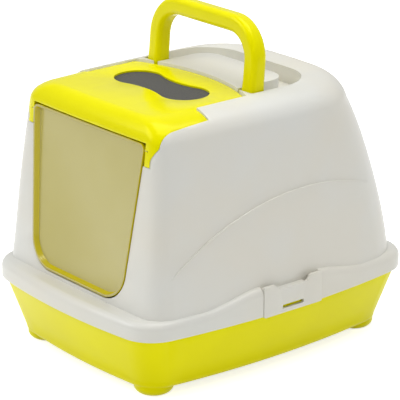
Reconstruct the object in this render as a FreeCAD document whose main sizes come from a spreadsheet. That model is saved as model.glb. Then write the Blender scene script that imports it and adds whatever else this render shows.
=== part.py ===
import FreeCAD, Part
import math
import os
import Sketcher

# Cat litter box with hood, in millimetres: the door faces -Y, +Z is up, and the feet stand on z = 0.

doc = FreeCAD.newDocument("cat_litter_box")

SIZES = {
    # outline of the rim, where the hood's skirt meets the tray
    "rim_half_width": 196,
    "rim_half_length": 251,
    "rim_corner": 52,
    "side_bow": 1316,
    "end_bow": 1020,
    "skirt_low": 94,
    "ledge_height": 120,
    "ledge_round": 11,
    "swell_height": 135,
    "swell_flat": 66,
    "swell_end": 134,
    "swell_blend": 130,
    "skirt_wall": 2.5,
    "skirt_round": 2,
    "seat_height": 112,
    # tray
    "tray_wall": 3,
    "tray_inset": 6,
    "floor_inset": 29,
    "floor_height": 12,
    "floor_corner": 40,
    "floor_round": 9,
    "flange_wall": 3,
    "flange_gap": 2.6,
    "foot_radius": 27.5,
    "foot_across": 122,
    "foot_along": 183,
    "foot_round": 11,
    "catch_half": 17,
    "catch_low": 99,
    "catch_tall": 4.4,
    "catch_gap": 0.4,
    # hood wall: half width, distance to the front and the rear, and corner radii at six heights
    "hood_wall": 3,
    "level_one": 116,
    "level_two": 177,
    "level_three": 234,
    "level_four": 291,
    "level_five": 348,
    "width_one": 183.5,
    "width_two": 178,
    "width_three": 172.8,
    "width_four": 167.5,
    "width_five": 161,
    "front_one": 222.5,
    "front_two": 216,
    "front_three": 209.5,
    "front_four": 203,
    "front_five": 196.5,
    "rear_one": 238,
    "rear_two": 231,
    "rear_three": 219,
    "rear_four": 204,
    "rear_five": 182,
    "near_corner_low": 30,
    "near_corner_top": 26,
    "far_corner_one": 60,
    "far_corner_two": 65,
    "far_corner_three": 74,
    "far_corner_four": 86,
    "far_corner_top": 96,
    "wall_side_bow": 1750,
    "wall_front_bow": 4000,
    "wall_rear_bow": 900,
    "shoulder_rise": 33,
    "shoulder_side": 46,
    "shoulder_end": 20,
    # swelling of the lower side walls under a curved crease
    "crease_proud": 3.2,
    "crease_side_bow": 1480,
    "crease_radius": 362,
    "crease_centre_along": 38,
    "crease_centre_height": -108,
    "crease_depth": 40,
    # seat of the lid on the hood
    "deck_height": 363,
    "brow_radius": 42,
    "ridge_front": 106,
    "ridge_inner": 119,
    "lid_gap": 0.8,
    "ear_seat": 3.4,
    "hatch_half": 104,
    "hatch_rear": 40,
    # door flap and doorway
    "door_top": 348,
    "door_low": 126.5,
    "door_top_half": 123,
    "door_low_half": 100,
    "door_low_corner": 44,
    "door_top_corner": 9,
    "door_depth": 9,
    "door_wall": 2,
    "door_rim": 3,
    "door_gap": 1.6,
    "door_draft": 3,
    "pivot_height": 340,
    "pivot_radius": 2.5,
    "pivot_reach": 3.6,
    "pivot_gap": 0.08,
    "lug_wall": 5,
    "lug_gap": 0.9,
    # flip lid
    "lid_half": 143.5,
    "lid_rise": 30,
    "lid_wall": 2.6,
    "lid_rear_round": 4,
    "lid_band_low": 350.2,
    "ear_low": 320,
    "seat_rear": 5,
    "seat_rear_bow": 285,
    "hinge_along": 28,
    "hinge_height": 373.5,
    "hinge_radius": 2.5,
    "hinge_reach": 3.6,
    # filter and its frame
    "lobe_across": 50,
    "lobe_radius": 34,
    "waist_radius": 120,
    "filter_along": 71,
    "filter_margin": 5,
    "filter_thick": 8,
    "frame_wall": 2,
    "frame_rim": 3,
    "frame_gap": 0.3,
    "bar_width": 3,
    "bar_pitch": 16,
    # carry handle
    "handle_half": 102,
    "handle_along": 4.5,
    "handle_axis": 371,
    "handle_rise": 93,
    "handle_corner": 46,
    "handle_size": 25,
    "handle_edge": 8,
    "handle_lean": 5,
    "foot_size": 26,
    "foot_flare": 22,
    "foot_top": 8,
    "foot_below": 7,
    "foot_edge": 4.5,
    "trunnion_radius": 4,
    "trunnion_reach": 4,
    "groove_gap": 3,
    "groove_front_gap": 2,
    "groove_low": 357.5,
    "groove_wall": 2.6,
    # side clips
    "clip_half": 52,
    "clip_low": 92.5,
    "clip_top": 136,
    "clip_wall": 4.6,
    "clip_gap": 0.6,
    "clip_dip": 8.5,
    "clip_dip_half": 25,
    "clip_ramp": 8,
    "clip_pin_height": 129.4,
    "clip_pin_inset": 6.4,
    "clip_bay_low": 121,
    "clip_barrel_radius": 4.6,
    "clip_corner": 3,
    "clip_pin_radius": 1.6,
    "clip_pin_reach": 4,
    "slot_half": 19,
    "slot_low": 98.4,
    "slot_tall": 5.6,
}

sheet = doc.addObject("Spreadsheet::Sheet", "Sizes")
for row, (alias, number) in enumerate(SIZES.items(), start=1):
    sheet.set("A%d" % row, alias)
    sheet.set("B%d" % row, str(number))
    sheet.setAlias("B%d" % row, alias)
doc.recompute()


class Size:
    """A length with the expression that it comes from, so a sketch starts where its expressions put it."""

    def __init__(self, text, value):
        self.text = text
        self.value = value

    def __add__(self, other):
        other = size(other)
        return Size("(%s + %s)" % (self.text, other.text), self.value + other.value)

    def __sub__(self, other):
        other = size(other)
        return Size("(%s - %s)" % (self.text, other.text), self.value - other.value)

    def __mul__(self, other):
        other = size(other)
        return Size("(%s * %s)" % (self.text, other.text), self.value * other.value)

    def __truediv__(self, other):
        other = size(other)
        return Size("(%s / %s)" % (self.text, other.text), self.value / other.value)

    def __neg__(self):
        return Size("(-1 * %s)" % self.text, -self.value)

    def __rmul__(self, other):
        return size(other) * self


def size(item):
    """A Size from a name in the sheet, a plain number or a Size."""
    if isinstance(item, Size):
        return item
    if isinstance(item, str):
        return Size("Sizes." + item, float(sheet.get(item)))
    return Size(repr(item), float(item))


# reaches past the outside of the box, for cuts that go right through
OVER = 20
CUT_TOP = size("handle_axis") + "rim_corner"
CUT_WIDTH = size("rim_half_width") * 2 + OVER
CLIP_INNER = size("rim_half_width") - "clip_wall"
LID_TOP = size("level_five") + "lid_rise"
CLIP_PIN = size("rim_half_width") - "clip_pin_inset"
CLIP_BAY = CLIP_PIN - "clip_barrel_radius" - "clip_gap"
ROUND_STEPS = 4
SHOULDER_STEPS = 5
BARS = 4
CLIP_SLOT_CORNER = 1
SIGNS = ((1, 1), (-1, 1), (-1, -1), (1, -1))
SIDES = (("left", -1), ("right", 1))


def new_body(name):
    body = doc.addObject("PartDesign::Body", name)
    body.Label = name
    return body


def origin_plane(body, role):
    return [f for f in body.Origin.OriginFeatures if f.Role == role][0]


def new_sketch(body, role, name, offset):
    """A sketch on one of the body's origin planes, moved along the plane's normal."""
    sketch = body.newObject("Sketcher::SketchObject", name)
    sketch.AttachmentSupport = [(origin_plane(body, role), "")]
    sketch.MapMode = "FlatFace"
    sketch.setExpression("AttachmentOffset.Base.z", size(offset).text)
    return sketch


def bind(sketch, kind, args, item):
    """Adds a dimension and binds it to its expression."""
    item = size(item)
    index = sketch.addConstraint(Sketcher.Constraint(kind, *args, item.value))
    sketch.setExpression("Constraints[%d]" % index, item.text)


def fix_point(sketch, geometry, point, across, up):
    """Places a point from the sketch's origin; a negative size is measured from the other side."""
    for kind, item in (("DistanceX", size(across)), ("DistanceY", size(up))):
        if item.value < 0:
            bind(sketch, kind, (geometry, point, -1, 1), -item)
        else:
            bind(sketch, kind, (-1, 1, geometry, point), item)


def vector(across, up):
    return FreeCAD.Vector(across, up, 0)


def arc(centre, radius, start, end):
    """An arc, anticlockwise about its centre from the direction of one point to that of another."""
    circle = Part.Circle(centre, vector(0, 0) + FreeCAD.Vector(0, 0, 1), radius)
    first = math.atan2(start.y - centre.y, start.x - centre.x)
    last = math.atan2(end.y - centre.y, end.x - centre.x)
    if last < first:
        last += 2 * math.pi
    return Part.ArcOfCircle(circle, first, last)


def meeting(one, one_radius, two, two_radius, side):
    """The point at given distances from two others, on the side that the signs in side give."""
    gap = two - one
    along = (one_radius ** 2 - two_radius ** 2 + gap.Length ** 2) / (2 * gap.Length)
    away = math.sqrt(one_radius ** 2 - along ** 2)
    unit = gap / gap.Length
    foot = one + unit * along
    for normal in (vector(-unit.y, unit.x), vector(unit.y, -unit.x)):
        point = foot + normal * away
        if point.x * side[0] > 0 and point.y * side[1] > 0:
            return point
    return foot


def beyond(centre, corner):
    """A point past a corner's centre, seen from the centre of the side that it meets."""
    return corner + (corner - centre)


def bowed_outline(body, name, height, half, front, rear, near, far, bows):
    """A rounded rectangle of eight tangent arcs, with bowed sides and its own front and rear."""
    sketch = new_sketch(body, "XY_Plane", name, height)
    side, end_front, end_rear = [size(b) for b in bows]
    half, front, rear, near, far = [size(i) for i in (half, front, rear, near, far)]
    right = vector(half.value - side.value, 0)
    left = -right
    fore = vector(0, end_front.value - front.value)
    aft = vector(0, rear.value - end_rear.value)
    front_corner = meeting(right, side.value - near.value, fore, end_front.value - near.value, (1, -1))
    rear_corner = meeting(right, side.value - far.value, aft, end_rear.value - far.value, (1, 1))
    far_left = vector(-rear_corner.x, rear_corner.y)
    near_left = vector(-front_corner.x, front_corner.y)
    arcs = [
        arc(right, side.value, front_corner, rear_corner),
        arc(rear_corner, far.value, beyond(right, rear_corner), beyond(aft, rear_corner)),
        arc(aft, end_rear.value, rear_corner, far_left),
        arc(far_left, far.value, beyond(aft, far_left), beyond(left, far_left)),
        arc(left, side.value, far_left, near_left),
        arc(near_left, near.value, beyond(left, near_left), beyond(fore, near_left)),
        arc(fore, end_front.value, near_left, front_corner),
        arc(front_corner, near.value, beyond(fore, front_corner), beyond(right, front_corner)),
    ]
    sketch.addGeometry(arcs, False)
    for i in range(8):
        sketch.addConstraint(Sketcher.Constraint("Tangent", i, 2, (i + 1) % 8, 1))
    for i, radius in enumerate((side, far, end_rear, far, side, near, end_front, near)):
        bind(sketch, "Radius", (i,), radius)
    fix_point(sketch, 0, 3, half - side, 0)
    fix_point(sketch, 4, 3, side - half, 0)
    fix_point(sketch, 2, 3, 0, rear - end_rear)
    fix_point(sketch, 6, 3, 0, end_front - front)
    return sketch


def profile(sketch, corners):
    """A closed outline of straight runs: each corner is (across, up) or (across, up, radius)."""
    corners = [[size(v) for v in corner] for corner in corners]
    points = [vector(c[0].value, c[1].value) for c in corners]
    count = len(corners)
    starts = []
    ends = []
    centres = []
    for i, corner in enumerate(corners):
        if len(corner) < 3:
            starts.append(points[i])
            ends.append(points[i])
            centres.append(None)
            continue
        back = (points[i - 1] - points[i]).normalize()
        ahead = (points[(i + 1) % count] - points[i]).normalize()
        half_angle = back.getAngle(ahead) / 2
        reach = corner[2].value / math.tan(half_angle)
        starts.append(points[i] + back * reach)
        ends.append(points[i] + ahead * reach)
        centres.append(points[i] + (back + ahead).normalize() * (corner[2].value / math.sin(half_angle)))
    for i in range(count):
        sketch.addGeometry(Part.LineSegment(ends[i], starts[(i + 1) % count]), False)
    marks = []
    for i, corner in enumerate(corners):
        mark = sketch.addGeometry(Part.Point(points[i]), True)
        marks.append(mark)
        fix_point(sketch, mark, 1, corner[0], corner[1])
    for i in range(count):
        sketch.addConstraint(Sketcher.Constraint("PointOnObject", marks[i], 1, i))
        sketch.addConstraint(Sketcher.Constraint("PointOnObject", marks[(i + 1) % count], 1, i))
    for i, corner in enumerate(corners):
        before = (i - 1) % count
        if centres[i] is None:
            sketch.addConstraint(Sketcher.Constraint("Coincident", before, 2, i, 1))
            continue
        radius = corner[2].value
        turn = (starts[i] - centres[i]).cross(ends[i] - centres[i]).z
        if turn > 0:
            bend = sketch.addGeometry(arc(centres[i], radius, starts[i], ends[i]), False)
            first, last = 1, 2
        else:
            bend = sketch.addGeometry(arc(centres[i], radius, ends[i], starts[i]), False)
            first, last = 2, 1
        sketch.addConstraint(Sketcher.Constraint("Tangent", before, 2, bend, first))
        sketch.addConstraint(Sketcher.Constraint("Tangent", bend, last, i, 1))
        bind(sketch, "Radius", (bend,), corner[2])


def profile_sketch(body, role, name, offset, corners):
    sketch = new_sketch(body, role, name, offset)
    profile(sketch, corners)
    return sketch


def circles(body, role, name, offset, centres, radius):
    sketch = new_sketch(body, role, name, offset)
    radius = size(radius)
    for across, up in centres:
        middle = vector(size(across).value, size(up).value)
        ring = sketch.addGeometry(Part.Circle(middle, FreeCAD.Vector(0, 0, 1), radius.value), False)
        fix_point(sketch, ring, 3, across, up)
        bind(sketch, "Radius", (ring,), radius)
    return sketch


def arch(body, role, name, offset, centre, radius, half_span, far_side):
    """A region between an arc that is curved upwards and a straight line, far_side from the arc's centre."""
    sketch = new_sketch(body, role, name, offset)
    centre = [size(v) for v in centre]
    radius, half_span, far_side = [size(v) for v in (radius, half_span, far_side)]
    middle = vector(centre[0].value, centre[1].value)
    rise = math.sqrt(radius.value ** 2 - half_span.value ** 2)
    right = middle + vector(half_span.value, rise)
    left = middle + vector(-half_span.value, rise)
    top_right = middle + vector(half_span.value, far_side.value)
    top_left = middle + vector(-half_span.value, far_side.value)
    sketch.addGeometry(
        [
            arc(middle, radius.value, right, left),
            Part.LineSegment(left, top_left),
            Part.LineSegment(top_left, top_right),
            Part.LineSegment(top_right, right),
        ],
        False,
    )
    joins = ((0, 2, 1, 1), (1, 2, 2, 1), (2, 2, 3, 1), (3, 2, 0, 1))
    for join in joins:
        sketch.addConstraint(Sketcher.Constraint("Coincident", *join))
    sketch.addConstraint(Sketcher.Constraint("Vertical", 1))
    sketch.addConstraint(Sketcher.Constraint("Vertical", 3))
    sketch.addConstraint(Sketcher.Constraint("Horizontal", 2))
    bind(sketch, "Radius", (0,), radius)
    fix_point(sketch, 0, 3, centre[0], centre[1])
    bind(sketch, "DistanceX", (0, 3, 3, 2), half_span)
    bind(sketch, "DistanceX", (1, 1, 0, 3), half_span)
    level = centre[1] + far_side
    if level.value < 0:
        bind(sketch, "DistanceY", (2, 1, -1, 1), -level)
    else:
        bind(sketch, "DistanceY", (-1, 1, 2, 1), level)
    return sketch


def pad(body, name, sketch, length, both=False, back=False):
    feature = body.newObject("PartDesign::Pad", name)
    feature.Profile = sketch
    feature.setExpression("Length", size(length).text)
    feature.Midplane = both
    feature.Reversed = back
    doc.recompute()
    return feature


def pocket(body, name, sketch, length, both=False, back=False):
    before = body.Shape.Volume
    feature = body.newObject("PartDesign::Pocket", name)
    feature.Profile = sketch
    feature.setExpression("Length", size(length).text)
    feature.Midplane = both
    feature.Reversed = back
    doc.recompute()
    if body.Shape.Volume >= before:
        raise RuntimeError(name + " removes nothing")
    return feature


def loft(body, kind, name, sketches):
    feature = body.newObject("PartDesign::" + kind, name)
    feature.Profile = sketches[0]
    feature.Sections = sketches[1:]
    doc.recompute()
    return feature


def fillet(body, name, radius, wanted):
    """Rounds the edges of the body's last feature that wanted() picks."""
    tip = body.Tip
    names = ["Edge%d" % n for n, edge in enumerate(tip.Shape.Edges, start=1) if wanted(edge)]
    feature = body.newObject("PartDesign::Fillet", name)
    feature.Base = (tip, names)
    feature.setExpression("Radius", size(radius).text)
    doc.recompute()
    return feature


def boolean(kind, name, base, tool):
    feature = doc.addObject("Part::" + kind, name)
    feature.Base = base
    feature.Tool = tool
    feature.Label = name
    doc.recompute()
    return feature


def near(value, item, slack=0.6):
    return abs(value - size(item).value) < slack


RIM_BOWS = ("side_bow", "end_bow", "end_bow")
WALL_BOWS = ("wall_side_bow", "wall_front_bow", "wall_rear_bow")


def rim_outline(body, name, height, inset, corner="rim_corner"):
    half = size("rim_half_width") - inset
    along = size("rim_half_length") - inset
    return bowed_outline(body, name, height, half, along, along, corner, corner, RIM_BOWS)


# ---- tray ----


def tray():
    body = new_body("tray_body")
    top = size("seat_height")
    skirt_inner = size("skirt_wall") + "flange_gap"
    corner = size("rim_corner") - skirt_inner
    wall = size("tray_wall")
    dish(body, "tray_outside", "AdditiveLoft", size(0), top, corner)
    flange = rim_outline(body, "tray_flange_outline", top - "flange_wall", skirt_inner, corner)
    pad(body, "tray_flange", flange, "flange_wall")
    feet = [(x * size("foot_across"), y * size("foot_along")) for x, y in SIGNS]
    rings = circles(body, "XY_Plane", "feet_outline", 0, feet, "foot_radius")
    pad(body, "tray_feet", rings, size("floor_height") + "floor_round")
    fillet(body, "tray_feet_round", "foot_round", lambda e: near(e.BoundBox.ZMax, 0))
    catch_top = size("catch_low") + "catch_tall"
    catch = profile_sketch(
        body,
        "YZ_Plane",
        "catch_outline",
        0,
        rectangle(-size("catch_half"), "catch_low", "catch_half", catch_top),
    )
    pad(body, "tray_catches", catch, (CLIP_INNER - "catch_gap") * 2, both=True)
    dish(body, "tray_inside", "SubtractiveLoft", wall, top + 1, corner)
    hollows = new_body("feet_hollows")
    dimples = circles(hollows, "XY_Plane", "feet_inner_outline", wall, feet, size("foot_radius") - wall)
    pad(hollows, "feet_inside", dimples, size("floor_height") + 1)
    deep = wall.value
    fillet(hollows, "feet_inside_round", size("foot_round") - wall, lambda e: near(e.BoundBox.ZMax, deep))
    return boolean("Cut", "base_tray", body, hollows)


def dish(body, name, kind, wall, top, corner):
    """The tray's drafted wall and the quarter-round under it, or the same one wall further in."""
    bend = size("floor_round") - wall
    bend_top = size("floor_height") + "floor_round"
    rows = []
    for step in range(ROUND_STEPS + 1):
        turn = math.radians(90 * (1 - step / ROUND_STEPS))
        inset = size("floor_inset") + wall + bend * (1 - math.cos(turn))
        height = bend_top - bend * math.sin(turn)
        radius = size("floor_corner") - wall - bend * (1 - math.cos(turn))
        rows.append(rim_outline(body, "%s_round_%d" % (name, step), height, inset, radius))
    loft(body, kind, name + "_round", rows)
    inset = size("tray_inset") + wall
    low = rim_outline(body, name + "_low", bend_top, size("floor_inset") + wall, size("floor_corner") - wall)
    high = rim_outline(body, name + "_high", "skirt_low", inset, corner - wall)
    loft(body, kind, name, [low, high])
    foot = rim_outline(body, name + "_band_foot", "skirt_low", inset, corner - wall)
    head = rim_outline(body, name + "_band_head", top, inset, corner - wall)
    loft(body, kind, name + "_band", [foot, head])


def rectangle(left, low, right, high):
    return [(left, low), (right, low), (right, high), (left, high)]


# ---- hood ----


def wall_rows():
    """Height, half width, front, rear, near corner and far corner of the hood's wall, from the ledge up."""
    rows = [
        ("level_one", "width_one", "front_one", "rear_one", "near_corner_low", "far_corner_one"),
        ("level_two", "width_two", "front_two", "rear_two", "near_corner_low", "far_corner_two"),
        ("level_three", "width_three", "front_three", "rear_three", "near_corner_top", "far_corner_three"),
        ("level_four", "width_four", "front_four", "rear_four", "near_corner_top", "far_corner_four"),
        ("level_five", "width_five", "front_five", "rear_five", "near_corner_top", "far_corner_top"),
    ]
    return [[size(item) for item in row] for row in rows]


def shoulder_rows(inset, rise):
    """The same values up the rounded shoulder, which goes on from the slope of the wall under it."""
    tall = size("level_five") - "level_four"
    rows = []
    for step in range(SHOULDER_STEPS + 1):
        turn = math.radians(90 * step / SHOULDER_STEPS)
        up = size(rise) * math.sin(turn)
        away = 1 - math.cos(turn)
        side = up * (size("width_four") - "width_five") / tall + size("shoulder_side") * away
        front = up * (size("front_four") - "front_five") / tall + size("shoulder_end") * away
        rear = up * (size("rear_four") - "rear_five") / tall + size("shoulder_end") * away
        rows.append(
            [
                size("level_five") + up - inset * math.sin(turn),
                size("width_five") - side,
                size("front_five") - front,
                size("rear_five") - rear,
                size("near_corner_top"),
                size("far_corner_top") - rear,
            ]
        )
    return rows


def wall_sketches(body, name, rows, inset, bows):
    sketches = []
    for n, (height, half, front, rear, corner, far) in enumerate(rows):
        label = "%s_%d" % (name, n)
        sizes = [item - inset for item in (half, front, rear, corner, far)]
        sketches.append(bowed_outline(body, label, height, *sizes, bows))
    return sketches


def wall_solid(body, name, inset, drop, rise="shoulder_rise"):
    """The hood's outer form as a solid, or the same one further in by inset, with its foot lower by drop."""
    rows = wall_rows()
    rows[0][0] = rows[0][0] - drop
    loft(body, "AdditiveLoft", name, wall_sketches(body, name, rows, inset, WALL_BOWS))
    shoulder = wall_sketches(body, name + "_shoulder", shoulder_rows(inset, rise), inset, WALL_BOWS)
    loft(body, "AdditiveLoft", name + "_shoulder", shoulder)


def rim():
    """The hood's skirt, with a ledge that swells up at each side round the clip."""
    block = new_body("rim_block")
    pad(block, "rim", rim_outline(block, "rim_outline", "skirt_low", 0), size("swell_height") - "skirt_low")
    flat, end, blend = size("swell_flat"), size("swell_end"), size("swell_blend")
    reach = size("rim_half_length") + OVER
    ledge, top = size("ledge_height"), size("swell_height")
    outline = [
        (-reach, ledge),
        (-end, ledge, blend),
        (-flat, top, blend),
        (flat, top, blend),
        (end, ledge, blend),
        (reach, ledge),
        (reach, CUT_TOP),
        (-reach, CUT_TOP),
    ]
    over = profile_sketch(block, "YZ_Plane", "rim_swell_outline", 0, outline)
    pocket(block, "rim_top", over, CUT_WIDTH, both=True)
    low = ledge.value - 1
    edges = list(enumerate((edge.BoundBox for edge in block.Shape.Edges), start=1))
    upper = [n for n, box in edges if box.ZMin > low and box.YLength > 1]
    rounded = doc.addObject("Part::Fillet", "rim_rounded")
    rounded.Base = block
    radius = size("ledge_round").value
    foot = size("skirt_low").value
    under = [n for n, box in edges if box.ZMax < foot + 1]
    bottom = size("skirt_round").value
    rounded.Edges = [(n, radius, radius) for n in upper] + [(n, bottom, bottom) for n in under]
    doc.recompute()
    return rounded


def hood():
    shell = new_body("hood_shell")
    wall_solid(shell, "wall", size(0), size(0))
    cut_brow(shell, "shell", size(0), (size("lid_half") + "lid_gap") * 2)
    cut_seat(shell, "shell", size(0))
    cut_groove(shell, "shell", size(0))
    outline = rectangle(-size("hatch_half"), -size("front_one"), "hatch_half", -size("hatch_rear"))
    hatch = profile_sketch(shell, "XY_Plane", "hatch_outline", CUT_TOP, outline)
    pocket(shell, "hatch", hatch, CUT_TOP - "door_top" + "brow_radius")
    dip = seat_plan(shell, "hatch_rear_outline", CUT_TOP, size(0), "hatch_rear")
    pocket(shell, "hatch_rear_part", dip, CUT_TOP - "door_top" + "brow_radius")
    start = front_at("deck_height") - "brow_radius" - "door_depth"
    outline = door_outline(size("door_gap"), CUT_TOP)
    doorway = profile_sketch(shell, "XZ_Plane", "doorway_outline", start, outline)
    pocket(shell, "doorway", doorway, "rim_half_length", back=True)
    bay = size("door_top_half") + "lug_gap" + "lug_wall" + "lug_gap"
    outline = rectangle(-bay, size("ear_low") - "lid_gap", bay, CUT_TOP)
    bays = profile_sketch(shell, "XZ_Plane", "lug_bay_outline", start, outline)
    pocket(shell, "lug_bays", bays, "rim_half_length", back=True)
    cut_trunnions(shell)
    cut_hinge(shell)

    swell = new_body("hood_swell")
    rows = wall_rows()[:-1]
    for row in rows:
        row[1] = row[1] + "crease_proud"
        row[2] = row[2] - size("hood_wall") * 2
        row[3] = row[3] - size("hood_wall") * 2
    bows = ("crease_side_bow",) + WALL_BOWS[1:]
    loft(swell, "AdditiveLoft", "swell", wall_sketches(swell, "swell", rows, size(0), bows))
    centre = ("crease_centre_along", "crease_centre_height")
    radius = size("crease_radius")
    span = radius - "crease_depth"
    crease = arch(swell, "YZ_Plane", "crease_arc", 0, centre, radius, span, radius + "rim_half_width")
    pocket(swell, "above_crease", crease, CUT_WIDTH, both=True)

    inside = new_body("hood_inside")
    corner = size("rim_corner") - "skirt_wall"
    skirt = rim_outline(inside, "skirt_inner_outline", size("skirt_low") - 1, "skirt_wall", corner)
    wall = size("hood_wall")
    wall_solid(inside, "cavity", wall, size("level_one") - "seat_height" + 1)
    cut_brow(inside, "cavity", wall, CUT_WIDTH)
    cut_seat(inside, "cavity", wall)
    cut_groove(inside, "cavity", size("groove_wall"))
    pad(inside, "skirt_inside", skirt, size("seat_height") - "skirt_low" + 1)
    clip_bays(inside)

    outside = boolean("Fuse", "hood_outside", boolean("Fuse", "hood_walls", shell, swell), rim())
    return boolean("Cut", "hood", outside, inside)


def front_at(height):
    """Distance of the hood's front face from the middle at a height, along the line of its upper wall."""
    slope = (size("front_three") - "front_four") / (size("level_four") - "level_three")
    return size("front_four") - slope * (size(height) - "level_four")


def brow(out):
    """The two corners of the line where the hood's front turns into the deck, moved out by a gap."""
    deck = size("deck_height") + out
    foot = size("ear_low") - "lid_gap" + out
    return [
        (-(front_at(deck) - "ear_seat" + out), deck, size("brow_radius") + out),
        (-(front_at(foot) - "ear_seat" + out), foot),
    ]


def cut_brow(body, name, wall, width):
    """Takes away what stands in front of the ridges, over the rounded brow and the deck."""
    back = -(size("ridge_front") - wall)
    deck, low = brow(-wall)
    reach = -(size("rim_half_length") + OVER)
    outline = [(back, CUT_TOP), (back, deck[1]), deck, low, (reach, low[1]), (reach, CUT_TOP)]
    sketch = profile_sketch(body, "YZ_Plane", name + "_brow_outline", 0, outline)
    pocket(body, name + "_brow", sketch, width, both=True)


def seat_plan(body, name, height, out, front):
    """The plan of the lid's seat between the ridges, from a front line to its bowed rear edge."""
    bow = size("seat_rear_bow")
    half = size("ridge_inner") + out
    centre = (0, size("seat_rear") - bow)
    return arch(body, "XY_Plane", name, height, centre, bow + out, half, bow - "seat_rear" - front)


def cut_seat(body, name, wall):
    sketch = seat_plan(body, name + "_seat_outline", CUT_TOP, wall, size("ridge_front") + 5)
    pocket(body, name + "_seat", sketch, CUT_TOP - "deck_height" + wall)


def cut_groove(body, name, wall):
    """The groove that takes the folded handle, which goes round a tongue of the hood's top."""
    half = size("handle_size") / 2 + "groove_gap" + wall
    outer = size("handle_half") + half
    inner = size("handle_half") - half
    front = size("handle_along") - size("foot_size") / 2 - "groove_front_gap" - wall
    far = size("handle_along") + "handle_rise" + half
    near_edge = far - half * 2
    turn = size("handle_corner")
    outline = [
        (-outer, front, 5),
        (-inner, front),
        (-inner, near_edge, turn - half),
        (inner, near_edge, turn - half),
        (inner, front),
        (outer, front, 5),
        (outer, far, turn + half),
        (-outer, far, turn + half),
    ]
    sketch = profile_sketch(body, "XY_Plane", name + "_groove_outline", CUT_TOP, outline)
    pocket(body, name + "_groove", sketch, CUT_TOP - "groove_low" + wall)


def door_outline(out, top=None):
    """The door's outline seen from the front, wider at the top, moved out by a gap."""
    high = size("door_top") + out if top is None else size(top)
    low = size("door_low") - out
    spread = (size("door_top_half") - "door_low_half") / (size("door_top") - "door_low")
    wide = size("door_low_half") + spread * (high - "door_low") + out
    narrow = size("door_low_half") + out - spread * out
    turn = size("door_low_corner") + out
    if top is None:
        upper = [(wide, high, size("door_top_corner") + out), (-wide, high, size("door_top_corner") + out)]
    else:
        upper = [(wide, high), (-wide, high)]
    return [(-narrow, low, turn), (narrow, low, turn)] + upper


def clip_bays(body):
    """What the clips and their pins take out of the rim."""
    half = size("clip_half") + "clip_gap"
    inner = CLIP_INNER - "clip_gap"
    pin = size("clip_pin_radius") + "pivot_gap"
    along = (half + "clip_pin_reach" + 1) * 2
    knuckle = size("clip_dip_half") - "clip_gap"
    top = size("clip_top") * 2
    for name, side in SIDES:
        plate = profile_sketch(
            body,
            "YZ_Plane",
            "clip_bay_outline_" + name,
            side * inner,
            rectangle(-half, size("clip_low") - 5, half, top),
        )
        pad(body, "clip_bay_" + name, plate, "rim_half_width", back=side < 0)
        dip = size("clip_top") - "clip_dip" - "clip_gap"
        bays = (
            ("front", -half, -knuckle, size("clip_bay_low")),
            ("rear", knuckle, half, size("clip_bay_low")),
            ("middle", -half, half, dip),
        )
        for end, low, high, foot in bays:
            label = "clip_barrel_bay_%s_%s" % (name, end)
            outline = rectangle(low, foot, high, top)
            sketch = profile_sketch(body, "YZ_Plane", label + "_outline", side * CLIP_BAY, outline)
            pad(body, label, sketch, "rim_half_width", back=side < 0)
        centre = [(side * CLIP_PIN, "clip_pin_height")]
        ring = circles(body, "XZ_Plane", "clip_pin_hole_outline_" + name, 0, centre, pin)
        pad(body, "clip_pin_hole_" + name, ring, along, both=True)


def cut_trunnions(body):
    reach = size("handle_half") + size("foot_size") / 2 + "trunnion_reach" + 1
    radius = size("trunnion_radius") + "pivot_gap"
    for name, side in SIDES:
        label = "trunnion_hole_outline_" + name
        centre = [("handle_along", "handle_axis")]
        sketch = circles(body, "YZ_Plane", label, side * reach, centre, radius)
        depth = size("foot_size") + size("trunnion_reach") * 2 + 2
        pocket(body, "trunnion_hole_" + name, sketch, depth, back=side < 0)


def cut_hinge(body):
    """Holes in the ridges' inner walls for the lid's hinge pins."""
    radius = size("hinge_radius") + "pivot_gap"
    reach = size("ridge_inner") + "hood_wall" + 1
    for name, side in SIDES:
        label = "hinge_hole_outline_" + name
        centre = [(-size("hinge_along"), "hinge_height")]
        sketch = circles(body, "YZ_Plane", label, side * reach, centre, radius)
        pocket(body, "hinge_hole_" + name, sketch, size("hood_wall") + 2, back=side < 0)


# ---- flip lid ----


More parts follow.
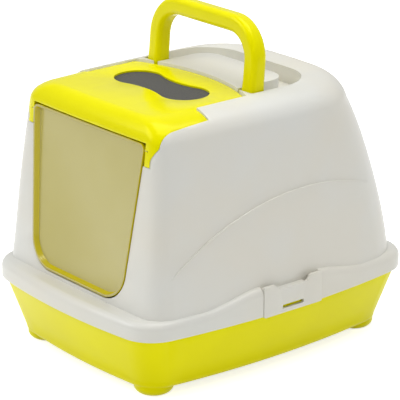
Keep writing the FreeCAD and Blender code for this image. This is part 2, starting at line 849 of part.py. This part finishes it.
def lid_form(body, name, inset):
    """The lid's outer form, or the same one further in: the hood's own form with a lower shoulder."""
    wall_solid(body, name + "_form", inset, size(0), "lid_rise")
    foot = profile_sketch(
        body, "XZ_Plane", name + "_foot_outline", 0, rectangle(-CUT_WIDTH, -OVER, CUT_WIDTH, "ear_low")
    )
    pocket(body, name + "_foot", foot, CUT_WIDTH * 2, both=True)
    half = size("lid_half") - inset
    for label, sign in SIDES:
        outline = rectangle(sign * half, -CUT_WIDTH, sign * CUT_WIDTH, CUT_WIDTH)
        aside = profile_sketch(body, "XY_Plane", "%s_side_%s" % (name, label), CUT_TOP, outline)
        pocket(body, "%s_trim_%s" % (name, label), aside, CUT_TOP)
    inner = size("ridge_inner") - "lid_gap" - inset
    ridge = -(size("ridge_front") + "lid_gap" + inset)
    for label, sign in SIDES:
        outline = rectangle(sign * inner, ridge, sign * CUT_WIDTH, CUT_WIDTH)
        beside = profile_sketch(body, "XY_Plane", "%s_beside_%s" % (name, label), CUT_TOP, outline)
        pocket(body, "%s_beside_ridge_%s" % (name, label), beside, CUT_TOP)
    bow = size("seat_rear_bow")
    rear = arch(
        body,
        "XY_Plane",
        name + "_rear_arc",
        CUT_TOP,
        (0, size("seat_rear") - bow),
        bow - "lid_gap" - inset,
        size("rim_half_width"),
        bow + "rim_half_length",
    )
    pocket(body, name + "_rear", rear, CUT_TOP)
    low = (LID_TOP - inset).value - 2
    axis = -size("hinge_along").value
    rounding = size("lid_rear_round") - inset
    fillet(body, name + "_rear_round", rounding, lambda e: e.BoundBox.ZMin > low and e.BoundBox.YMin > axis)


def peanut(body, name, height, out):
    """A two-lobed outline with a waist, moved out by a gap."""
    sketch = new_sketch(body, "XY_Plane", name, height)
    lobe = size("lobe_radius") + out
    waist = size("waist_radius") - out
    across = size("lobe_across")
    along = -size("filter_along")
    span = lobe.value + waist.value
    rise = math.sqrt(span ** 2 - across.value ** 2)
    right = vector(across.value, along.value)
    left = vector(-across.value, along.value)
    above = vector(0, along.value + rise)
    below = vector(0, along.value - rise)
    sketch.addGeometry(
        [
            arc(right, lobe.value, below, above),
            arc(above, waist.value, left, right),
            arc(left, lobe.value, above, below),
            arc(below, waist.value, right, left),
        ],
        False,
    )
    for one, end, other, start in ((0, 2, 1, 2), (1, 1, 2, 1), (2, 2, 3, 2), (3, 1, 0, 1)):
        sketch.addConstraint(Sketcher.Constraint("Tangent", one, end, other, start))
    for n, radius in enumerate((lobe, waist, lobe, waist)):
        bind(sketch, "Radius", (n,), radius)
    fix_point(sketch, 0, 3, across, along)
    fix_point(sketch, 2, 3, -across, along)
    return sketch


PIVOT = (-(front_at("pivot_height") - size("door_depth") / 2), "pivot_height")


def lid():
    outer = new_body("lid_outer")
    lid_form(outer, "lid", size(0))
    gap = size("lid_gap")
    corner, low = brow(gap)
    rear = size("rim_half_length")
    under = [(rear, low[1]), (rear, corner[1]), corner, low]
    sketch = profile_sketch(outer, "YZ_Plane", "lid_under_outline", 0, under)
    pocket(outer, "lid_under", sketch, CUT_WIDTH, both=True)
    half = size("door_top_half") + gap
    mouth = profile_sketch(
        outer, "XZ_Plane", "lid_mouth_outline", 0, rectangle(-half, "level_three", half, "lid_band_low")
    )
    pocket(outer, "lid_mouth", mouth, "rim_half_length", back=True)
    inner = new_body("lid_inner")
    lid_form(inner, "lid_inner", size("lid_wall"))
    shell = boolean("Cut", "lid_shell", outer, inner)

    fittings = new_body("lid_fittings")
    inside = size("door_top_half") + "lug_gap"
    rear = PIVOT[0] + size("lug_wall") * 2
    outline = rectangle(-size("front_one"), "ear_low", rear, CUT_TOP)
    blocks = new_body("lug_blocks")
    for label, sign in SIDES:
        sketch = profile_sketch(blocks, "YZ_Plane", "lug_outline_" + label, sign * inside, outline)
        pad(blocks, "lug_" + label, sketch, "lug_wall", back=sign < 0)
    limit = new_body("lug_limit")
    lid_form(limit, "lug_limit", size("lid_wall") / 2)
    lugs = boolean("Common", "lugs", blocks, limit)
    root = size("ridge_inner") - "lid_gap" - size("lid_wall") / 2
    for label, sign in SIDES:
        name = "hinge_pin_outline_" + label
        centre = [(-size("hinge_along"), "hinge_height")]
        pin = circles(fittings, "YZ_Plane", name, sign * root, centre, "hinge_radius")
        pad(fittings, "hinge_pin_" + label, pin, size("lid_wall") / 2 + "hinge_reach", back=sign < 0)
    whole = boolean("Fuse", "lid_whole", boolean("Fuse", "lid_with_lugs", shell, lugs), fittings)
    holes = new_body("pivot_holes")
    ring = circles(holes, "YZ_Plane", "pivot_hole_outline", 0, [PIVOT], size("pivot_radius") + "pivot_gap")
    pad(holes, "pivot_hole", ring, (inside + "lug_wall") * 2, both=True)
    window = new_body("lid_window")
    pad(window, "window", peanut(window, "window_outline", "deck_height", size(0)), CUT_TOP - "deck_height")
    return boolean("Cut", "flip_lid", boolean("Cut", "lid_with_holes", whole, holes), window)


# ---- door flap ----


def flap():
    """A dish that leans with the hood's front wall and hangs from two pins near its top."""
    body = new_body("door_flap")
    slope = (size("front_three") - "front_four") / (size("level_four") - "level_three")
    stretch = Size("sqrt(1 + %s ^ 2)" % slope.text, math.hypot(1, slope.value))

    def outline(inset):
        corners = [[size(v) for v in corner] for corner in door_outline(-inset)]
        return [(across, (up - "pivot_height") * stretch, turn) for across, up, turn in corners]

    half = size("door_depth") / 2
    form = profile_sketch(body, "XZ_Plane", "flap_outline", -half, outline(size(0)))
    pad(body, "flap", form, "door_depth")
    mouth = profile_sketch(body, "XZ_Plane", "flap_mouth", half, outline(size("door_rim")))
    inner = outline(size("door_rim") + "door_draft")
    panel = profile_sketch(body, "XZ_Plane", "flap_panel", size("door_wall") - half, inner)
    loft(body, "SubtractiveLoft", "flap_dish", [mouth, panel])
    root = size("door_top_half") - "door_rim"
    for name, side in SIDES:
        pin = circles(body, "YZ_Plane", "flap_pin_outline_" + name, side * root, [(0, 0)], "pivot_radius")
        pad(body, "flap_pin_" + name, pin, size("door_rim") + "lug_gap" + "pivot_reach", back=side < 0)
    body.Placement = FreeCAD.Placement(vector(0, 0), FreeCAD.Rotation(vector(-1, 0), 5))
    body.setExpression("Placement.Base.y", PIVOT[0].text)
    body.setExpression("Placement.Base.z", size("pivot_height").text)
    body.setExpression("Placement.Rotation.Angle", "atan(%s)" % slope.text)
    doc.recompute()
    return body


# ---- filter and its frame ----


def filter_parts():
    skin = LID_TOP - "lid_wall"
    gap = size("frame_gap")
    margin = size("filter_margin")
    outer = margin + gap + "frame_wall"
    pack = skin - gap - "filter_thick"
    floor = pack - gap - "frame_wall"
    ring = new_body("frame_ring")
    pad(ring, "frame_form", peanut(ring, "frame_outline", floor, outer), skin - floor)
    nest = peanut(ring, "frame_nest_outline", skin + 1, margin + gap)
    pocket(ring, "frame_nest", nest, skin - floor - "frame_wall" + 1)
    opening = peanut(ring, "frame_opening_outline", skin, margin + gap - "frame_rim")
    pocket(ring, "frame_opening", opening, LID_TOP)
    bars = new_body("frame_bars")
    width = size("bar_width") / 2
    reach = size("lobe_radius") + outer
    for n in range(-BARS, BARS + 1):
        middle = n * size("bar_pitch")
        low = -(size("filter_along") + reach)
        outline = rectangle(middle - width, low, middle + width, reach - "filter_along")
        bar = profile_sketch(bars, "XY_Plane", "bar_outline_%d" % (n + BARS), floor, outline)
        pad(bars, "bar_%d" % (n + BARS), bar, "frame_wall")
    within = new_body("frame_within")
    pad(within, "bar_limit", peanut(within, "bar_limit_outline", floor, margin), "frame_wall")
    grille = boolean("Common", "frame_grille", bars, within)
    frame = boolean("Fuse", "filter_frame", ring, grille)
    carbon = new_body("carbon_filter")
    pad(carbon, "foam", peanut(carbon, "foam_outline", pack, margin), "filter_thick")
    return frame, carbon


# ---- carry handle ----


def square(body, name, height, across, wide, edge):
    half = size(wide) / 2
    corners = rectangle(across - half, -half, across + half, half)
    return profile_sketch(body, "XY_Plane", name, height, [(x, y, edge) for x, y in corners])


def handle():
    """A hoop of rounded square section, measured from its own axis, with trunnions at its two feet."""
    body = new_body("carry_handle")
    half, rise, corner = size("handle_half"), size("handle_rise"), size("handle_corner")
    base = size("foot_flare")
    path = new_sketch(body, "XZ_Plane", "handle_path", 0)
    left = vector((corner - half).value, (rise - corner).value)
    right = vector((half - corner).value, (rise - corner).value)
    radius = corner.value
    path.addGeometry(
        [
            Part.LineSegment(vector(-half.value, base.value), left + vector(-radius, 0)),
            arc(left, radius, left + vector(0, radius), left + vector(-radius, 0)),
            Part.LineSegment(left + vector(0, radius), right + vector(0, radius)),
            arc(right, radius, right + vector(radius, 0), right + vector(0, radius)),
            Part.LineSegment(right + vector(radius, 0), vector(half.value, base.value)),
        ],
        False,
    )
    for join in ((0, 2, 1, 2), (1, 1, 2, 1), (2, 2, 3, 2), (3, 1, 4, 1)):
        path.addConstraint(Sketcher.Constraint("Tangent", *join))
    bind(path, "Radius", (1,), corner)
    bind(path, "Radius", (3,), corner)
    fix_point(path, 1, 3, corner - half, rise - corner)
    fix_point(path, 3, 3, half - corner, rise - corner)
    fix_point(path, 0, 1, -half, base)
    fix_point(path, 4, 2, half, base)
    hoop = body.newObject("PartDesign::AdditivePipe", "hoop")
    hoop.Profile = square(body, "hoop_section", base, -half, "handle_size", "handle_edge")
    hoop.Spine = path
    doc.recompute()
    outer = half + size("foot_size") / 2 + "trunnion_reach"
    for name, side in SIDES:
        middle = side * half
        neck = square(body, "neck_" + name, base, middle, "handle_size", "handle_edge")
        ankle = square(body, "ankle_" + name, "foot_top", middle, "foot_size", "handle_edge")
        loft(body, "AdditiveLoft", "flare_" + name, [neck, ankle])
        sole = square(body, "sole_" + name, -size("foot_below"), middle, "foot_size", "handle_edge")
        pad(body, "foot_" + name, sole, size("foot_below") + "foot_top")
    low = -size("foot_below").value
    fillet(body, "soles_round", "foot_edge", lambda e: near(e.BoundBox.ZMax, low))
    length = size("foot_size") + size("trunnion_reach") * 2
    for name, side in SIDES:
        label = "trunnion_outline_" + name
        ring = circles(body, "YZ_Plane", label, side * outer, [(0, 0)], "trunnion_radius")
        pad(body, "trunnion_" + name, ring, length, back=side > 0)
    body.Placement = FreeCAD.Placement(vector(0, 0), FreeCAD.Rotation(vector(-1, 0), 5))
    body.setExpression("Placement.Base.y", size("handle_along").text)
    body.setExpression("Placement.Base.z", size("handle_axis").text)
    body.setExpression("Placement.Rotation.Angle", "%s * 1 deg" % size("handle_lean").text)
    doc.recompute()
    return body


# ---- side clips ----


def clip(name, side):
    body = new_body("clip_" + name)
    half, low, top = size("clip_half"), size("clip_low"), size("clip_top")
    dip, ramp, corner = size("clip_dip_half"), size("clip_ramp"), size("clip_corner")
    outline = [
        (-half, low, corner),
        (half, low, corner),
        (half, top, corner),
        (dip + ramp, top, ramp / 2),
        (dip, top - "clip_dip", ramp / 2),
        (-dip, top - "clip_dip", ramp / 2),
        (-(dip + ramp), top, ramp / 2),
        (-half, top, corner),
    ]
    form = profile_sketch(body, "YZ_Plane", "plate_outline_" + name, side * CLIP_INNER, outline)
    pad(body, "plate_" + name, form, "clip_wall", back=side < 0)
    slot = rectangle(-size("slot_half"), "slot_low", "slot_half", size("slot_low") + "slot_tall")
    rounded = [(x, y, CLIP_SLOT_CORNER) for x, y in slot]
    opening = profile_sketch(body, "YZ_Plane", "slot_outline_" + name, 0, rounded)
    pocket(body, "slot_" + name, opening, CUT_WIDTH, both=True)
    centre = [(side * CLIP_PIN, "clip_pin_height")]
    inner = dip + ramp
    reach = half + "clip_pin_reach"
    for end, barrel_from, pin_from in (("front", inner, inner), ("rear", -half, -reach)):
        label = "%s_%s" % (name, end)
        name_of_ring = "barrel_outline_" + label
        ring = circles(body, "XZ_Plane", name_of_ring, barrel_from, centre, "clip_barrel_radius")
        pad(body, "barrel_" + label, ring, half - inner)
        ring = circles(body, "XZ_Plane", "clip_pin_outline_" + label, pin_from, centre, "clip_pin_radius")
        pad(body, "clip_pin_" + label, ring, reach - inner)
    return body


pieces = [tray(), hood(), lid(), flap(), handle()]
pieces += filter_parts()
pieces += [clip(name, side) for name, side in SIDES]
doc.recompute()

for item in doc.Objects:
    if "Invalid" in item.State or "Error" in item.State:
        raise RuntimeError(item.Name + " is " + str(item.State))
for piece in pieces:
    if piece.Shape.isNull() or not piece.Shape.isValid():
        raise RuntimeError(piece.Label + " has no valid shape")
os.makedirs("parts", exist_ok=True)
for piece in pieces:
    piece.Shape.exportStep("parts/%s.step" % piece.Label)
    print(piece.Label, len(piece.Shape.Solids), round(piece.Shape.Volume))
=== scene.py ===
"""A hooded cat litter box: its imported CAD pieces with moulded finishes, on a pale studio floor."""

import math

import bpy
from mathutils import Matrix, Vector


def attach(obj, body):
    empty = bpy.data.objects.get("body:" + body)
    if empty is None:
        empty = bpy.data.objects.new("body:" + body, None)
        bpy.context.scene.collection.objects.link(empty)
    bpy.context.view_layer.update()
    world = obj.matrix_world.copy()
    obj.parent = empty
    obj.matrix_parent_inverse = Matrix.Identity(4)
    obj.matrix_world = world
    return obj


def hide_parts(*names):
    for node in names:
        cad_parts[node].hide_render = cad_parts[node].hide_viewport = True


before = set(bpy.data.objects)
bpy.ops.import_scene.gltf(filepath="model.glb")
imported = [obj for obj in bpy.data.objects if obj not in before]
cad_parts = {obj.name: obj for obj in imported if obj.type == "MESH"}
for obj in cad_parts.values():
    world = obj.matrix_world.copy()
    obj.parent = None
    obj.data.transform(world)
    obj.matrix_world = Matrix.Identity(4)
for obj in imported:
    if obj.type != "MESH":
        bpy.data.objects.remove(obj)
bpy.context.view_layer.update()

MM = 0.001

# ---- colours and finishes ----

YELLOW = "#e9e300"
YELLOW_DEEP = "#e3dc00"
YELLOW_SHINE = "#fff750"
WHITE = "#d9d9d3"
WHITE_WARM = "#dad7cc"
WHITE_SHINE = "#ffffff"
SMOKE = "#c8bd68"
SMOKE_DEEP = "#c0b452"
# painted edge glow: the deeper gold that light shows through the thickness of the flap's side walls
SMOKE_EDGE_GLOW = "#dccb00"
CHARCOAL = "#3b3a37"
# painted shade for the foam's pits
CHARCOAL_PIT_SHADE = "#232322"
FLOOR = "#f4f4f4"
PURE_WHITE = (1, 1, 1, 1)

POLYPROPYLENE_IOR = 1.49
STYRENE_IOR = 1.57
FOAM_IOR = 1.5

# how far the roughness of moulded plastic wanders to each side of its mean
ROUGHNESS_DRIFT = 0.05

# sizes of the surface detail, in mm
FLAP_CLOUD = 90
FLAP_RIPPLE = 25
FLAP_RIPPLE_DEPTH = 0.15
FOAM_CELL = 2.2
FOAM_PIT_DEPTH = 0.6

# how squarely the flap's surface faces along its own Y, from its side walls to its panel; where it faces
# less squarely the painted edge glow shows, where more squarely the smoke tint
FLAP_WALL_FACING = 0.55
FLAP_PANEL_FACING = 0.85


def colour(code):
    """An sRGB hex value as linear red, green, blue and alpha."""
    parts = [int(code[i : i + 2], 16) / 255 for i in (1, 3, 5)]
    return tuple(p / 12.92 if p <= 0.04045 else ((p + 0.055) / 1.055) ** 2.4 for p in parts) + (1,)


def add(tree, kind, sockets=(), links=(), **settings):
    """Adds a node: sockets are (name, value), links are (name, another node's output)."""
    node = tree.nodes.new(kind)
    for name, value in settings.items():
        setattr(node, name, value)
    for name, value in sockets:
        node.inputs[name].default_value = value
    for name, output in links:
        tree.links.new(output, node.inputs[name])
    return node


def new_material(name):
    """An empty material with its tree and its object coordinates."""
    material = bpy.data.materials.new(name)
    material.use_nodes = True
    tree = material.node_tree
    tree.nodes.clear()
    return material, tree, add(tree, "ShaderNodeTexCoord")


def noise(tree, place, scale, detail, roughness=0.5):
    """Noise on the object's own coordinates."""
    return add(
        tree,
        "ShaderNodeTexNoise",
        [("Scale", scale), ("Detail", detail), ("Roughness", roughness)],
        [("Vector", place.outputs["Object"])],
    ).outputs["Fac"]


def mixed_colour(tree, factor, low, high):
    """A blend from the colour code low to the colour code high."""
    return add(
        tree,
        "ShaderNodeMix",
        [("A", colour(low)), ("B", colour(high))],
        [("Factor", factor)],
        data_type="RGBA",
    ).outputs["Result"]


def spread(tree, value, low, high):
    """The stretch of a value from low to high, spread over 0 to 1."""
    return add(
        tree,
        "ShaderNodeMapRange",
        [("From Min", low), ("From Max", high)],
        [("Value", value)],
    ).outputs["Result"]


def bumped(tree, height, strength, distance):
    """A surface normal that follows a height."""
    return add(
        tree,
        "ShaderNodeBump",
        [("Strength", strength), ("Distance", distance)],
        [("Height", height)],
    ).outputs["Normal"]


def surface(tree, shader):
    add(tree, "ShaderNodeOutputMaterial", links=[("Surface", shader)])


def either(tree, first, second):
    """The larger of two light path flags."""
    return add(
        tree,
        "ShaderNodeMath",
        links=[(0, first), (1, second)],
        operation="MAXIMUM",
    ).outputs["Value"]


def moulded_plastic(name, light, deep, shine, shine_level, roughness, grain_mm, grain_depth, flow_mm):
    """Injection-moulded polypropylene: a faint cloudiness from the flow and the fine grain of the mould."""
    material, tree, place = new_material(name)
    cloud = noise(tree, place, 1 / (flow_mm * MM), 3.0)
    tint = mixed_colour(tree, spread(tree, cloud, 0.35, 0.65), deep, light)
    gloss = add(
        tree,
        "ShaderNodeMapRange",
        [("To Min", roughness - ROUGHNESS_DRIFT), ("To Max", roughness + ROUGHNESS_DRIFT)],
        [("Value", cloud)],
    )
    grain = noise(tree, place, 1 / (grain_mm * MM), 2.0, 0.55)
    shader = add(
        tree,
        "ShaderNodeBsdfPrincipled",
        [
            ("IOR", POLYPROPYLENE_IOR),
            ("Specular IOR Level", shine_level),
            ("Specular Tint", colour(shine)),
        ],
        [
            ("Base Color", tint),
            ("Roughness", gloss.outputs["Result"]),
            ("Normal", bumped(tree, grain, 0.35, grain_depth * MM)),
        ],
    )
    surface(tree, shader.outputs["BSDF"])
    return material


gloss_yellow = moulded_plastic(
    "glossy yellow polypropylene",
    YELLOW,
    YELLOW_DEEP,
    YELLOW_SHINE,
    shine_level=0.4,
    roughness=0.22,
    grain_mm=0.9,
    grain_depth=0.02,
    flow_mm=120,
)
satin_yellow = moulded_plastic(
    "satin yellow polypropylene",
    YELLOW,
    YELLOW_DEEP,
    YELLOW_SHINE,
    shine_level=0.25,
    roughness=0.36,
    grain_mm=0.8,
    grain_depth=0.03,
    flow_mm=160,
)
satin_white = moulded_plastic(
    "satin white polypropylene",
    WHITE,
    WHITE_WARM,
    WHITE_SHINE,
    shine_level=0.5,
    roughness=0.34,
    grain_mm=0.8,
    grain_depth=0.03,
    flow_mm=140,
)


def tinted_flap():
    """Smoke-tinted styrene: the inside of the box shows through faintly, and the side walls carry a painted
    edge glow, the deeper gold that light shows through their thickness.
    """
    material, tree, place = new_material("smoke tinted styrene with painted edge glow")
    cloud = noise(tree, place, 1 / (FLAP_CLOUD * MM), 2.0)
    facing = add(tree, "ShaderNodeSeparateXYZ", links=[("Vector", place.outputs["Normal"])])
    square_on = add(tree, "ShaderNodeMath", links=[(0, facing.outputs["Y"])], operation="ABSOLUTE")
    # painted edge glow on the side walls, blended into the cloudy smoke tint of the panel by how squarely
    # the surface faces along Y
    tint_and_edge_glow = add(
        tree,
        "ShaderNodeMix",
        [("A", colour(SMOKE_EDGE_GLOW))],
        [
            ("Factor", spread(tree, square_on.outputs["Value"], FLAP_WALL_FACING, FLAP_PANEL_FACING)),
            ("B", mixed_colour(tree, cloud, SMOKE_DEEP, SMOKE)),
        ],
        data_type="RGBA",
    )
    ripple = noise(tree, place, 1 / (FLAP_RIPPLE * MM), 1.0)
    shader = add(
        tree,
        "ShaderNodeBsdfPrincipled",
        [("Roughness", 0.18), ("IOR", STYRENE_IOR), ("Transmission Weight", 0.2)],
        [
            ("Base Color", tint_and_edge_glow.outputs["Result"]),
            ("Normal", bumped(tree, ripple, 0.25, FLAP_RIPPLE_DEPTH * MM)),
        ],
    )
    surface(tree, shader.outputs["BSDF"])
    return material


def charcoal_foam():
    """Open-cell polyurethane foam loaded with carbon, with painted shade darkening its pits."""
    material, tree, place = new_material("charcoal polyurethane foam")
    cells = add(
        tree,
        "ShaderNodeTexVoronoi",
        [("Scale", 1 / (FOAM_CELL * MM)), ("Randomness", 1.0)],
        [("Vector", place.outputs["Object"])],
    ).outputs["Distance"]
    # darker towards each cell's centre, where the bump sinks into pits: painted shade in the pits
    shader = add(
        tree,
        "ShaderNodeBsdfPrincipled",
        [("Roughness", 0.9), ("IOR", FOAM_IOR), ("Sheen Weight", 0.2)],
        [
            ("Base Color", mixed_colour(tree, spread(tree, cells, 0.0, 0.7), CHARCOAL_PIT_SHADE, CHARCOAL)),
            ("Normal", bumped(tree, cells, 0.8, FOAM_PIT_DEPTH * MM)),
        ],
    )
    surface(tree, shader.outputs["BSDF"])
    return material


FINISHES = {
    "base_tray": satin_yellow,
    "hood": satin_white,
    "flip_lid": gloss_yellow,
    "door_flap": tinted_flap(),
    "carry_handle": gloss_yellow,
    "clip_left": satin_white,
    "clip_right": satin_white,
    "filter_frame": satin_yellow,
    "carbon_filter": charcoal_foam(),
}
for name, material in FINISHES.items():
    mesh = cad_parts[name].data
    mesh.materials.clear()
    mesh.materials.append(material)


# ---- softened edges ----

# piece, body it rides on and the width in mm of its moulded edge radius
SOFT_EDGES = (
    ("base_tray", "tray", 0.8),
    ("hood", "hood", 0.4),
    ("carry_handle", "handle", 0.4),
    ("flip_lid", "lid", 0.8),
    ("door_flap", "flap", 0.5),
    ("clip_left", "left_clip", 0.9),
    ("clip_right", "right_clip", 0.9),
    ("filter_frame", "lid", 0.3),
)
SHARP = math.radians(32)
SAME_POINT = 0.002 * MM


def soften(node, body, width):
    """A copy of a CAD piece with its sharp edges rounded, which stands for the piece."""
    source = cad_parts[node]
    piece = source.copy()
    piece.data = source.data.copy()
    piece.name = node + "_moulding"
    bpy.context.scene.collection.objects.link(piece)
    bpy.ops.object.select_all(action="DESELECT")
    piece.select_set(True)
    bpy.context.view_layer.objects.active = piece
    bpy.ops.object.mode_set(mode="EDIT")
    bpy.ops.mesh.select_all(action="SELECT")
    bpy.ops.mesh.remove_doubles(threshold=SAME_POINT)
    bpy.ops.object.mode_set(mode="OBJECT")
    bevel = piece.modifiers.new("edge_radius", "BEVEL")
    bevel.width = width * MM
    bevel.segments = 2
    bevel.limit_method = "ANGLE"
    bevel.angle_limit = SHARP
    bevel.use_clamp_overlap = True
    bevel.loop_slide = False
    bpy.ops.object.modifier_apply(modifier=bevel.name)
    bpy.ops.object.shade_smooth_by_angle(angle=SHARP)
    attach(piece, body)
    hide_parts(node)


for node, body, width in SOFT_EDGES:
    soften(node, body, width)


# ---- studio ----

FLOOR_SIZE = 14
FLOOR_GLOW = 0.7
FIBRE_SCALE = 300.0
FIBRE_DEPTH = 0.2 * MM
AIR_LIGHT = 0.42
SUBJECT_LOW = (0, 0, 0.25)
SUBJECT_HIGH = (0, 0, 0.3)

# name, place, aim, side length in m and power in W
SOFT_BOXES = (
    ("front_left_light", (-1.3, -2.2, 1.9), SUBJECT_LOW, 1.6, 30),
    ("top_light", (0.2, 0.2, 2.6), SUBJECT_HIGH, 2.0, 44),
    ("right_light", (2.6, -0.4, 1.3), SUBJECT_LOW, 1.6, 7),
)


def floor_material():
    """A pale floor that the camera, gloss and tinted plastic see as white wherever no shadow falls."""
    material, tree, place = new_material("white studio paper")
    fibre = noise(tree, place, FIBRE_SCALE, 2.0)
    paper = add(
        tree,
        "ShaderNodeBsdfDiffuse",
        [("Color", colour(FLOOR))],
        [("Normal", bumped(tree, fibre, 0.05, FIBRE_DEPTH))],
    ).outputs["BSDF"]
    glow = add(tree, "ShaderNodeEmission", [("Color", PURE_WHITE), ("Strength", FLOOR_GLOW)])
    path = add(tree, "ShaderNodeLightPath")
    seen = either(tree, path.outputs["Is Camera Ray"], path.outputs["Is Glossy Ray"])
    seen_through = either(tree, seen, path.outputs["Is Transmission Ray"])
    both = add(tree, "ShaderNodeAddShader", links=[(0, paper), (1, glow.outputs["Emission"])])
    choice = add(
        tree,
        "ShaderNodeMixShader",
        links=[(0, seen_through), (1, paper), (2, both.outputs["Shader"])],
    )
    surface(tree, choice.outputs["Shader"])
    return material


def studio_world():
    """White air to the camera and through the flap, and a dimmer light for everything else."""
    world = bpy.data.worlds.new("studio air")
    bpy.context.scene.world = world
    world.use_nodes = True
    tree = world.node_tree
    tree.nodes.clear()
    path = add(tree, "ShaderNodeLightPath")
    dim = add(tree, "ShaderNodeBackground", [("Color", PURE_WHITE), ("Strength", AIR_LIGHT)])
    white = add(tree, "ShaderNodeBackground", [("Color", PURE_WHITE), ("Strength", 1.0)])
    seen = either(tree, path.outputs["Is Camera Ray"], path.outputs["Is Transmission Ray"])
    choice = add(
        tree,
        "ShaderNodeMixShader",
        links=[(0, seen), (1, dim.outputs["Background"]), (2, white.outputs["Background"])],
    )
    add(tree, "ShaderNodeOutputWorld", links=[("Surface", choice.outputs["Shader"])])


def soft_box(name, place, aim, side, power):
    """A square area light that faces its aim."""
    lamp = bpy.data.lights.new(name, "AREA")
    lamp.shape = "RECTANGLE"
    lamp.size = side
    lamp.size_y = side
    lamp.energy = power
    holder = bpy.data.objects.new(name, lamp)
    bpy.context.scene.collection.objects.link(holder)
    holder.location = place
    holder.rotation_euler = (Vector(aim) - Vector(place)).to_track_quat("-Z", "Y").to_euler()


bpy.ops.mesh.primitive_plane_add(size=FLOOR_SIZE)
floor = bpy.context.object
floor.name = "studio_floor"
floor.data.materials.append(floor_material())

studio_world()

for name, place, aim, side, power in SOFT_BOXES:
    soft_box(name, place, aim, side, power)

# ---- camera ----

AZIMUTH = math.radians(50.64)
ELEVATION = math.radians(19.32)
DISTANCE = 3.064
AIM = Vector((-0.0004, -0.0025, 0.197))
LENS_MM = 196.5
SENSOR_MM = 36

camera = bpy.data.objects.new("camera", bpy.data.cameras.new("camera"))
bpy.context.scene.collection.objects.link(camera)
back = Vector(
    (math.sin(AZIMUTH) * math.cos(ELEVATION), -math.cos(AZIMUTH) * math.cos(ELEVATION), math.sin(ELEVATION))
)
camera.location = AIM + back * DISTANCE
camera.rotation_euler = back.to_track_quat("Z", "Y").to_euler()
camera.data.lens = LENS_MM
camera.data.sensor_width = SENSOR_MM
bpy.context.scene.camera = camera
bpy.context.scene.view_settings.view_transform = "Standard"
